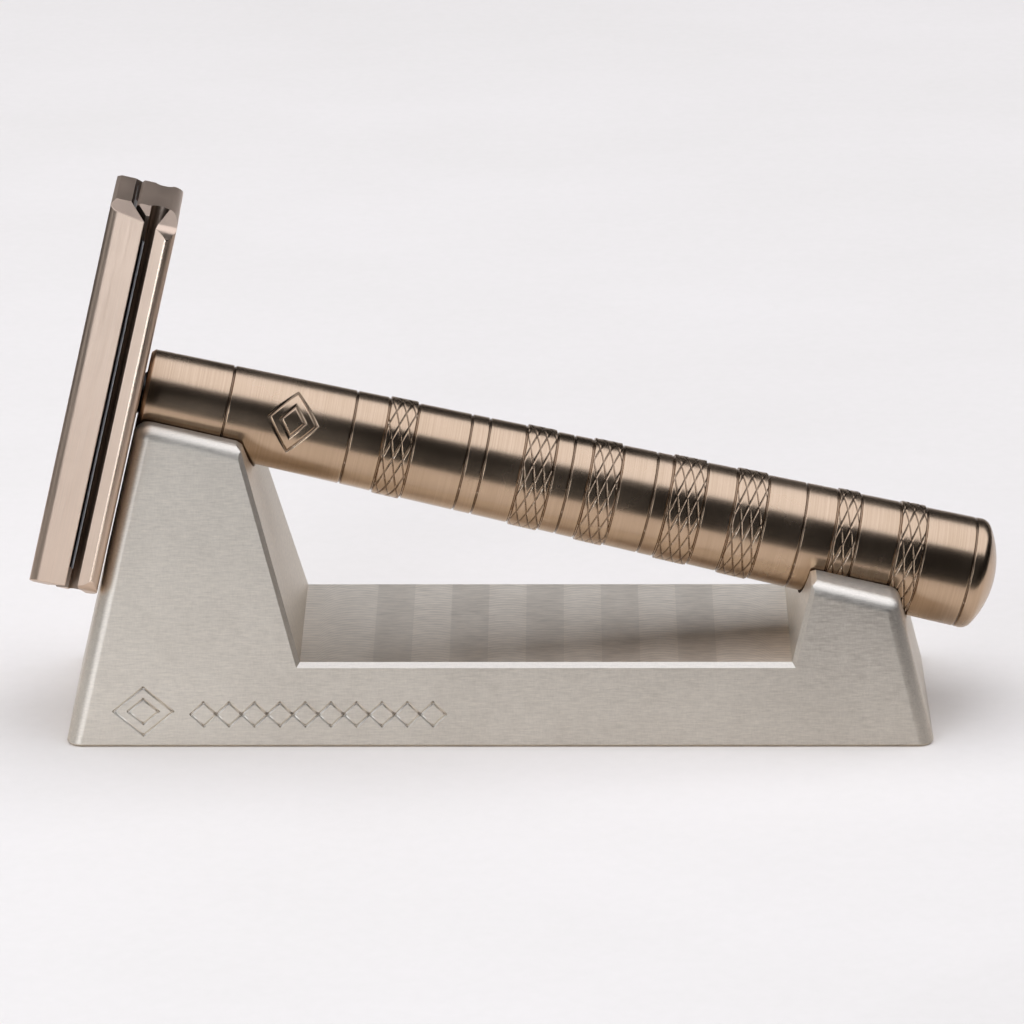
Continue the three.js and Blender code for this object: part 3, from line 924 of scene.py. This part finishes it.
def motif_depth(stations, angles):
    """Two engraved lozenges, one inside the other."""
    along = (stations[:, None] - MOTIF_CENTRE) / MOTIF_HALF_LENGTH
    around = (angles[None, :] - MOTIF_TURN + math.pi) % (2 * math.pi) - math.pi
    across = around * handle_radius(MOTIF_CENTRE) / MOTIF_HALF_HEIGHT
    side = MOTIF_HALF_LENGTH * MOTIF_HALF_HEIGHT / math.hypot(MOTIF_HALF_LENGTH, MOTIF_HALF_HEIGHT)
    sink = np.zeros(along.shape[:1] + across.shape[1:])
    for size in MOTIF_SIZES:
        distance = np.abs(np.abs(along) + np.abs(across) - size) * side
        cut = MOTIF_STEEPNESS * (1 - distance / (MOTIF_LINE / 2))
        sink = np.maximum(sink, np.clip(cut, 0, 1))
    return sink


def supported(outline):
    """The outline with a ring added near each end of every long plain stretch."""
    done = [outline[0]]
    for near, far in zip(outline, outline[1:]):
        length = far[0] - near[0]
        if length > 4 * SUPPORT:
            for share in (SUPPORT / length, 1 - SUPPORT / length):
                done.append((near[0] + share * length, near[1] + share * (far[1] - near[1])))
        done.append(far)
    return done


def handle_outline():
    """The turned outline from the bore to the tail, with no points on the axis."""
    features = [(at, groove_outline(at, GROOVE_WIDTH, GROOVE_DEPTH)) for at in GROOVES]
    features += [(start, band_outline(start, end)) for start, end, _, _ in BANDS]
    reach = MOTIF_HALF_LENGTH + MOTIF_LINE
    count = math.ceil(2 * reach / MOTIF_STEP)
    fine = [MOTIF_CENTRE - reach + 2 * reach * i / count for i in range(count + 1)]
    features.append((MOTIF_CENTRE, [(station, handle_radius(station)) for station in fine]))
    neck = handle_radius(NECK_START)
    outline = [
        (HANDLE_BORE_END, STUD_RADIUS + GAP),
        (NECK_START, STUD_RADIUS + GAP),
        (NECK_START, neck - NECK_CHAMFER),
        (NECK_START + NECK_CHAMFER, neck),
    ]
    for _, points in sorted(features):
        outline += points
    return supported(outline + tail_outline())


def turned_mesh(stations, radius, angles):
    """The handle's closed skin, its radius given on a grid of stations and angles."""
    points = np.stack([
        np.broadcast_to(stations[:, None], radius.shape),
        radius * np.cos(angles)[None, :],
        radius * np.sin(angles)[None, :],
    ], axis=-1).reshape(-1, 3)
    rings, columns = radius.shape
    ring, column = np.meshgrid(np.arange(rings - 1), np.arange(columns), indexing="ij")
    following = (column + 1) % columns
    quads = np.stack([
        ring * columns + column,
        (ring + 1) * columns + column,
        (ring + 1) * columns + following,
        ring * columns + following,
    ], axis=-1).reshape(-1, 4)
    poles = [(HANDLE_BORE_END, 0, 0), (TAIL_TIP, 0, 0)]
    count = rings * columns
    last = (rings - 1) * columns
    fans = [(count, i, (i + 1) % columns) for i in range(columns)]
    fans += [(count + 1, last + (i + 1) % columns, last + i) for i in range(columns)]
    mesh = bpy.data.meshes.new("work")
    mesh.from_pydata(points.tolist() + poles, [], quads.tolist() + fans)
    bm = bmesh.new()
    bm.from_mesh(mesh)
    bmesh.ops.recalc_face_normals(bm, faces=bm.faces)
    bm.to_mesh(mesh)
    bm.free()
    return mesh


def build_handle():
    outline = np.array(handle_outline())
    stations = outline[:, 0]
    angles = 2 * math.pi * np.arange(HANDLE_COLUMNS) / HANDLE_COLUMNS
    outside = np.arange(len(stations)) >= BORE_POINTS
    knurl = knurl_depth(stations, angles) * outside[:, None]
    motif = motif_depth(stations, angles) * outside[:, None]
    radius = outline[:, 1][:, None] - KNURL_DEPTH * knurl - MOTIF_DEPTH * motif
    mesh = turned_mesh(stations, radius, angles)
    grooves = np.zeros(len(stations))
    bare = np.array([handle_radius(s) for s in stations])
    plain_end = TAIL_EDGE - TAIL_EDGE_RADIUS - CLEAR
    body = (stations > NECK_START + NECK_CHAMFER) & (stations < plain_end) & outside
    grooves[body] = np.clip((bare - outline[:, 1])[body] / GROOVE_DEPTH, 0, 1)
    depth = np.maximum(np.maximum(knurl, motif), grooves[:, None]).reshape(-1)
    attribute = mesh.attributes.new("depth", "FLOAT", "POINT")
    # Painted shade in the grooves, knurl and motif, by how deep each cuts
    darkening = np.append(CUT_PAINTED_SHADE * depth, [0.0, 0.0])
    attribute.data.foreach_set("value", darkening.astype(np.float32))
    materials = [HANDLE_METAL]
    add_piece("handle_body", mesh, "handle", materials, "razor_handle",
              RAZOR_PLACE, crease=HANDLE_CREASE)


# --- Head ---

def mirrored(half):
    """A half outline of (station, width) and its mirror image."""
    return list(half) + [(station, -width) for station, width in reversed(half)]


def corner_line(width):
    """How far along the head the slanting corner cut lies at some distance across it."""
    return HEAD_HALF_LENGTH - CORNER_CUT * (width - PLATEAU_HALF_WIDTH)


def rounded_corner():
    """The guard's corner in plan: the slanting cut, then an arc into the bar's outermost line."""
    width = BAR_BACK_HALF_WIDTH + BAR_EDGE_RADIUS + CLEAR
    slant = math.atan(CORNER_CUT)
    tangent = CORNER_RADIUS * math.tan((math.pi / 2 - slant) / 2)
    centre = (width - CORNER_RADIUS, corner_line(width) - tangent)
    return arc(centre, CORNER_RADIUS, math.pi / 2 - slant, 0, CORNER_ARC_STEPS)


def head_piece(section, side, corner):
    """What a section along the head, its plan and its side outline have in common."""
    quarter = [(PLATEAU_HALF_WIDTH, HEAD_HALF_LENGTH), *corner]
    plan = quarter + [(w, -l) for w, l in reversed(quarter)]
    plan += [(-w, -l) for w, l in quarter] + [(-w, l) for w, l in reversed(quarter)]
    body = prism(section, along_z)
    body = boolean(body, prism(plan, along_x), "INTERSECT")
    return boolean(body, prism(side, along_y), "INTERSECT")


def rod(start, end, radius, offset=0.0):
    """What cuts a round hole along the razor's axis, or beside it along the head."""
    mesh = lathe([(start, 0), (start, radius), (end, radius), (end, 0)], HOLE_COLUMNS)
    mesh.transform(Matrix.Translation((0, 0, offset)))
    return mesh


def clamp_holes(start, stud_end, pin_end):
    """The holes for the stud and the two dowels."""
    holes = [rod(start, stud_end, STUD_RADIUS + GAP)]
    holes += [rod(start, pin_end, PIN_RADIUS + GAP, side * PIN_OFFSET) for side in (-1, 1)]
    return joined(holes)


# How far the cap bends the blade on each side
BEND = math.atan2(CAP_TIP - CAP_UNDER, CAP_TIP_HALF_WIDTH - PLATEAU_HALF_WIDTH)


def build_cap():
    """The upper plate: flat on top, its edges rounded, its wings bending the blade down."""
    centre = (CAP_TOP + CAP_EDGE_RADIUS, CAP_TOP_HALF_WIDTH)
    half = [
        *arc(centre, CAP_EDGE_RADIUS, math.pi, math.pi - CAP_EDGE_SPAN, CAP_EDGE_STEPS),
        (CAP_TIP - CAP_TIP_THICKNESS, CAP_TIP_HALF_WIDTH),
        (CAP_TIP, CAP_TIP_HALF_WIDTH),
        (CAP_UNDER, PLATEAU_HALF_WIDTH),
    ]
    end = HEAD_HALF_LENGTH
    chamfered = end - CAP_END_CHAMFER
    side = [
        (CAP_TOP, -chamfered),
        (CAP_TOP + CAP_END_CHAMFER, -end),
        (GUARD_BACK, -end),
        (GUARD_BACK, end),
        (CAP_TOP + CAP_END_CHAMFER, end),
        (CAP_TOP, chamfered),
    ]
    width = 2 * PLATEAU_HALF_WIDTH
    mesh = head_piece(mirrored(half), side, [(width, corner_line(width))])
    mesh = boolean(mesh, clamp_holes(STUD_START - GAP, GUARD_BACK, GUARD_BACK))
    mesh = edges_broken(mesh, EDGE_BREAK / 2)
    materials = [HEAD_METAL, HEAD_PAINTED_SHADE]
    cap = add_piece("cap_plate", mesh, "cap", materials, "razor_cap",
                    RAZOR_PLACE, crease=HEAD_CREASE)
    # The cap's faces that look towards the guard take the painted shade
    set_materials(cap, lambda centre, normal: normal.x > INSIDE_FACING)


def guard_material(centre, normal):
    """1 on the faces between the bars, which carry painted shade, 2 on each bar's edge, smoother and
    lighter as a painted glint, 0 elsewhere.
    """
    width = abs(centre.y)
    if abs(normal.z) >= LENGTHWISE_LIMIT:
        return 0
    if width < BAR_TOP[1] and normal.x < BACK_FACING:
        return 1
    # The bars' rounded edges take the painted glint
    if width > BAR_BACK_HALF_WIDTH and GLINT_FROM < normal.x < GLINT_TO:
        return 2
    return 0


def build_guard():
    """The lower plate: a ledge under the blade, a lather channel and a safety bar on each side."""
    top = CAP_UNDER + BLADE_GAP
    slope_top = CAP_UNDER + BLADE_GAP / math.cos(BEND)
    ledge = slope_top + (GUARD_LEDGE_HALF_WIDTH - PLATEAU_HALF_WIDTH) * math.tan(BEND)
    bar_centre = (GUARD_BACK - BAR_EDGE_RADIUS, BAR_BACK_HALF_WIDTH)
    half = [
        (top, PLATEAU_HALF_WIDTH - (slope_top - top) / math.tan(BEND)),
        (ledge, GUARD_LEDGE_HALF_WIDTH),
        (CHANNEL_CENTRE[0] - CHANNEL_RADIUS, GUARD_LEDGE_HALF_WIDTH),
        *arc(CHANNEL_CENTRE, CHANNEL_RADIUS, math.pi, 2 * math.pi, CHANNEL_STEPS),
        BAR_TOP,
        *arc(bar_centre, BAR_EDGE_RADIUS, BAR_EDGE_SPAN, 0, BAR_EDGE_STEPS),
    ]
    end = HEAD_HALF_LENGTH
    back = GUARD_BACK - GUARD_BACK_RADIUS
    flat_end = end - GUARD_BACK_RADIUS
    side = [
        (top, -(end - GUARD_END_CHAMFER)),
        (top + GUARD_END_CHAMFER, -end),
        *arc((back, -flat_end), GUARD_BACK_RADIUS, -math.pi / 2, 0, GUARD_BACK_STEPS),
        *arc((back, flat_end), GUARD_BACK_RADIUS, 0, math.pi / 2, GUARD_BACK_STEPS),
        (top + GUARD_END_CHAMFER, end),
        (top, end - GUARD_END_CHAMFER),
    ]
    mesh = head_piece(mirrored(half), side, rounded_corner())
    mesh = boolean(mesh, clamp_holes(CAP_TOP, NECK_START, PIN_HOLE_END))
    mesh = edges_broken(mesh, EDGE_BREAK / 2)
    materials = [HEAD_METAL, HEAD_PAINTED_SHADE, HEAD_GLINT_EDGE]
    guard = add_piece("guard_plate", mesh, "guard", materials, "razor_guard",
                      RAZOR_PLACE, crease=HEAD_CREASE)
    set_materials(guard, guard_material)


def build_blade():
    """A double-edge blade, bent to the plates' slope on both sides."""
    middle = CAP_UNDER + BLADE_GAP / 2
    half = BLADE_THICKNESS / 2
    bend_at = PLATEAU_HALF_WIDTH - BLADE_GAP / 2 * math.tan(BEND / 2)
    length = BLADE_HALF_WIDTH - bend_at
    slope = (math.sin(BEND), math.cos(BEND))
    tip = (middle + length * slope[0], bend_at + length * slope[1])
    grind = (tip[0] - GRIND_WIDTH * slope[0], tip[1] - GRIND_WIDTH * slope[1])
    edge = half / 8
    section = [
        (middle - half, bend_at),
        (grind[0] - half, grind[1]),
        (tip[0] - edge, tip[1]),
        (tip[0] + edge, tip[1] - edge),
        (grind[0] + half, grind[1] - half),
        (middle + half, bend_at - half),
    ]
    quarter = [
        (BLADE_HALF_WIDTH, EDGE_HALF_LENGTH),
        (EDGE_CORNER_HALF_WIDTH, EDGE_HALF_LENGTH),
        (TAB_HALF_WIDTH, TAB_SHOULDER),
        (TAB_HALF_WIDTH, BLADE_HALF_LENGTH),
    ]
    head_end = quarter + [(-w, l) for w, l in reversed(quarter)]
    plan = head_end + [(-w, -l) for w, l in head_end]
    slot_half = BLADE_SLOT_WIDTH / 2
    slot = [
        (slot_half, PIN_OFFSET),
        (-slot_half, PIN_OFFSET),
        (-slot_half, -PIN_OFFSET),
        (slot_half, -PIN_OFFSET),
    ]
    mesh = prism(mirrored(section), along_z)
    mesh = boolean(mesh, prism(plan, along_x), "INTERSECT")
    mesh = boolean(mesh, clamp_holes(CAP_TOP, GUARD_BACK, GUARD_BACK))
    mesh = boolean(mesh, prism(slot, along_x))
    materials = [BLADE_STEEL_SHADED, GROUND_STEEL_GLINT]
    blade = add_piece("blade_sheet", mesh, "blade", materials, "razor_blade",
                      RAZOR_PLACE)
    # The ground edge gets the painted highlight, the rest the painted shade
    set_materials(blade, lambda centre, normal: abs(centre.y) > grind[1])


def build_stud():
    """A screw with a real thread on the part that shows below the cap."""
    start = STUD_START + THREAD_START
    rows = math.ceil((STUD_END - start) / THREAD_PITCH * THREAD_STEPS)
    outline = [(STUD_START, STUD_RADIUS)]
    length = STUD_END - THREAD_END_CHAMFER - start
    outline += [(start + length * i / rows, STUD_RADIUS) for i in range(rows + 1)]
    outline += [(STUD_END, STUD_RADIUS - THREAD_DEPTH)]
    mesh = lathe([(STUD_START, 0), *outline, (STUD_END, 0)], ROUND_COLUMNS)
    for vertex in mesh.vertices:
        station, y, z = vertex.co
        if not start < station < STUD_END - CLEAR or math.hypot(y, z) < STUD_RADIUS / 2:
            continue
        turn = (station / THREAD_PITCH - math.atan2(z, y) / (2 * math.pi)) % 1.0
        share = min(1.0, (station - start) / THREAD_RUN_IN)
        cut = THREAD_DEPTH * (1 - abs(2 * turn - 1)) * share
        scale = (STUD_RADIUS - cut) / STUD_RADIUS
        vertex.co = (station, y * scale, z * scale)
    add_piece("clamp_screw", mesh, "cap", [SCREW_STEEL], "razor_stud",
              RAZOR_PLACE, crease=THREAD_CREASE)


def build_pin(name, node, side):
    """A dowel with a rounded tip."""
    shoulder = PIN_END - PIN_TIP_RADIUS
    centre = (shoulder, PIN_RADIUS - PIN_TIP_RADIUS)
    tip = arc(centre, PIN_TIP_RADIUS, math.pi / 2, 0, PIN_TIP_STEPS)
    outline = [(PIN_START, 0), (PIN_START, PIN_RADIUS), *tip, (PIN_END, 0)]
    mesh = lathe(outline, ROUND_COLUMNS)
    mesh.transform(Matrix.Translation((0, 0, side * PIN_OFFSET)))
    add_piece(name, mesh, "cap", [SCREW_STEEL], node, RAZOR_PLACE)


# --- Room, lights and camera ---

def build_floor():
    """A table that sweeps up behind the object."""
    radius = TABLE_BEND_RADIUS
    outline = [(TABLE_FRONT, 0.0), (TABLE_BEND, 0.0)]
    for angle in np.linspace(*TABLE_BEND_ANGLES, TABLE_BEND_STEPS):
        outline.append((TABLE_BEND + radius * math.sin(angle), radius - radius * math.cos(angle)))
    bm = bmesh.new()
    left = [bm.verts.new((-TABLE_HALF_WIDTH, y, z)) for y, z in outline]
    right = [bm.verts.new((TABLE_HALF_WIDTH, y, z)) for y, z in outline]
    for i in range(len(outline) - 1):
        bm.faces.new((left[i], right[i], right[i + 1], left[i + 1]))
    mesh = mesh_from(bm)
    mesh.polygons.foreach_set("use_smooth", [True] * len(mesh.polygons))
    mesh.materials.append(floor_paper())
    floor = bpy.data.objects.new("floor", mesh)
    bpy.context.scene.collection.objects.link(floor)


def build_flags():
    """Dark cards beyond the lit table, which only reflections see."""
    far = FLAG_REACH
    left = FLAG_EDGE[0][0]
    right = FLAG_EDGE[-1][0]
    cards = [
        [*FLAG_EDGE, (right, -far), (left, -far)],
        [(left, far), (left, -far), (-far, -far), (-far, far)],
        [(right, -far), (right, far), (far, far), (far, -far)],
    ]
    bm = bmesh.new()
    for card in cards:
        bm.faces.new([bm.verts.new((x, y, MM)) for x, y in card])
    mesh = mesh_from(bm)
    black = Nodes("black_card")
    black.set(Base_Color=FLAG_COLOUR, Roughness=FLAG_ROUGHNESS)
    mesh.materials.append(black.material)
    flags = bpy.data.objects.new("flags", mesh)
    bpy.context.scene.collection.objects.link(flags)
    for ray in ("camera", "diffuse", "shadow", "transmission", "volume_scatter"):
        setattr(flags, "visible_" + ray, False)


def add_light(name, place, target, size, power, colour, reflected):
    """A softbox. One that isn't reflected only lights rough surfaces, here the floor."""
    data = bpy.data.lights.new(name, "AREA")
    data.shape = "RECTANGLE"
    data.size, data.size_y = size
    data.energy = power
    data.color = colour
    light = bpy.data.objects.new(name, data)
    bpy.context.scene.collection.objects.link(light)
    light.location = place
    light.rotation_euler = (Vector(target) - Vector(place)).to_track_quat("-Z", "Y").to_euler()
    light.visible_camera = False
    light.visible_glossy = reflected


def build_camera():
    """A long lens, looking down at the front and almost square to it."""
    data = bpy.data.cameras.new("camera")
    data.lens = CAMERA_LENS
    data.sensor_width = CAMERA_SENSOR
    camera = bpy.data.objects.new("camera", data)
    bpy.context.scene.collection.objects.link(camera)
    turn = (
        Matrix.Rotation(-CAMERA_YAW, 4, "Z")
        @ Matrix.Rotation(math.pi / 2 - CAMERA_ELEVATION, 4, "X")
        @ Matrix.Rotation(-CAMERA_ROLL, 4, "Z")
    )
    back = turn @ Vector((0, 0, CAMERA_DISTANCE))
    camera.matrix_world = Matrix.Translation(CAMERA_TARGET + back) @ turn
    bpy.context.scene.camera = camera


def build_world():
    """A very dim, even room, with colours shown as they are."""
    world = bpy.data.worlds.new("studio")
    world.use_nodes = True
    background = world.node_tree.nodes["Background"]
    background.inputs[0].default_value = WORLD_COLOUR
    background.inputs[1].default_value = WORLD_STRENGTH
    bpy.context.scene.world = world
    bpy.context.scene.view_settings.view_transform = "Standard"


build_camera()
build_world()
build_floor()
build_flags()
for light in LIGHTS:
    add_light(*light)
build_stand()
build_handle()
build_cap()
build_guard()
build_blade()
build_stud()
build_pin("dowel_upper", "razor_pin_upper", 1)
build_pin("dowel_lower", "razor_pin_lower", -1)
